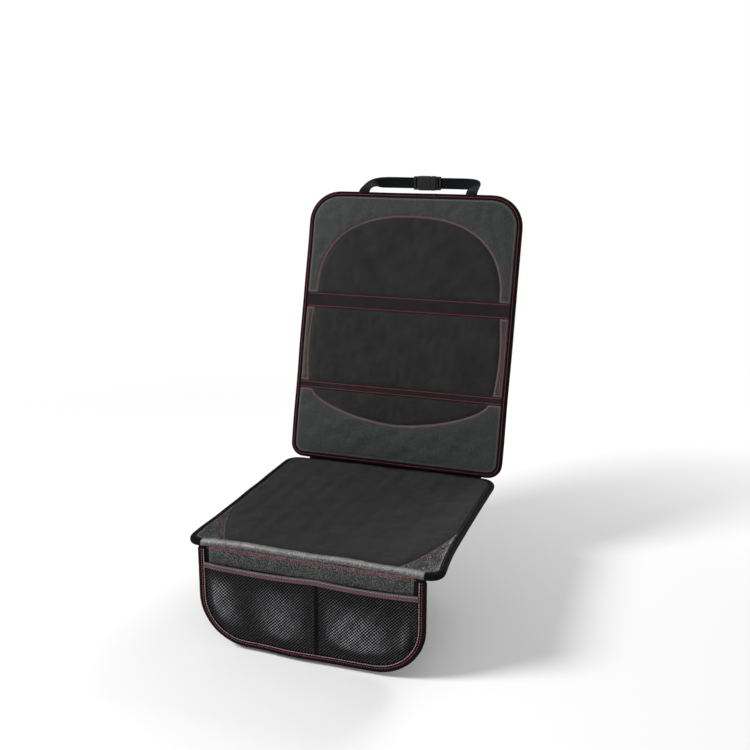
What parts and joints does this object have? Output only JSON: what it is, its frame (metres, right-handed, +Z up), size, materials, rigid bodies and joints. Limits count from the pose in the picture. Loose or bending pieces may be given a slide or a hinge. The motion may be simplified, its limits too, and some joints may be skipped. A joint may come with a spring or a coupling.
{
  "type": "car seat protector mat",
  "caption": "Padded mat that covers a car seat's cushion and backrest, with bound edges, a front flap with mesh pockets and a buckled strap that goes round the headrest posts.",
  "frame": {"origin": "centre of the seat panel's flat underside, which lies on the seat cushion", "axes": "+X to the viewer's right when facing the front, -Y the front edge with the flap, +Z up"},
  "size_m": [0.489, 0.7519, 0.822],
  "materials": {
    "leatherette": "pebbled satin",
    "padding_fabric": "matt woven",
    "pocket_mesh": "open knitted mesh with a light sheen",
    "binding_tape": "matt woven tape",
    "hem_tape": "matt woven tape",
    "stitching": "red thread",
    "webbing": "woven webbing",
    "plastic": "moulded satin"
  },
  "bodies": {
    "root": {"seat_panel": "padding_fabric", "seat_binding": "binding_tape", "seat_wedge_right": "leatherette", "seat_wedge_left": "leatherette", "seat_centre_pad": "padding_fabric", "front_facing": "leatherette", "front_flap": "leatherette", "flap_binding": "binding_tape", "pocket_mesh_left": "pocket_mesh", "pocket_mesh_right": "pocket_mesh", "pocket_hem": "hem_tape", "pocket_divider": "binding_tape", "back_panel": "padding_fabric", "back_binding": "binding_tape", "back_yoke": "leatherette", "back_pad_upper": "padding_fabric", "back_side_right": "leatherette", "back_side_left": "leatherette", "back_pad_middle": "padding_fabric", "back_lower_panel": "leatherette", "back_pad_lower": "padding_fabric", "back_belt_lower": "binding_tape", "back_belt_upper": "binding_tape", "crease_strip": "padding_fabric", "crease_tab_right": "webbing", "crease_tab_left": "webbing", "crease_tube_right": "plastic", "crease_tube_left": "plastic", "headrest_strap_right": "webbing", "headrest_strap_left": "webbing", "buckle_socket": "plastic", "buckle_plug": "plastic"}
  },
  "joints": []
}
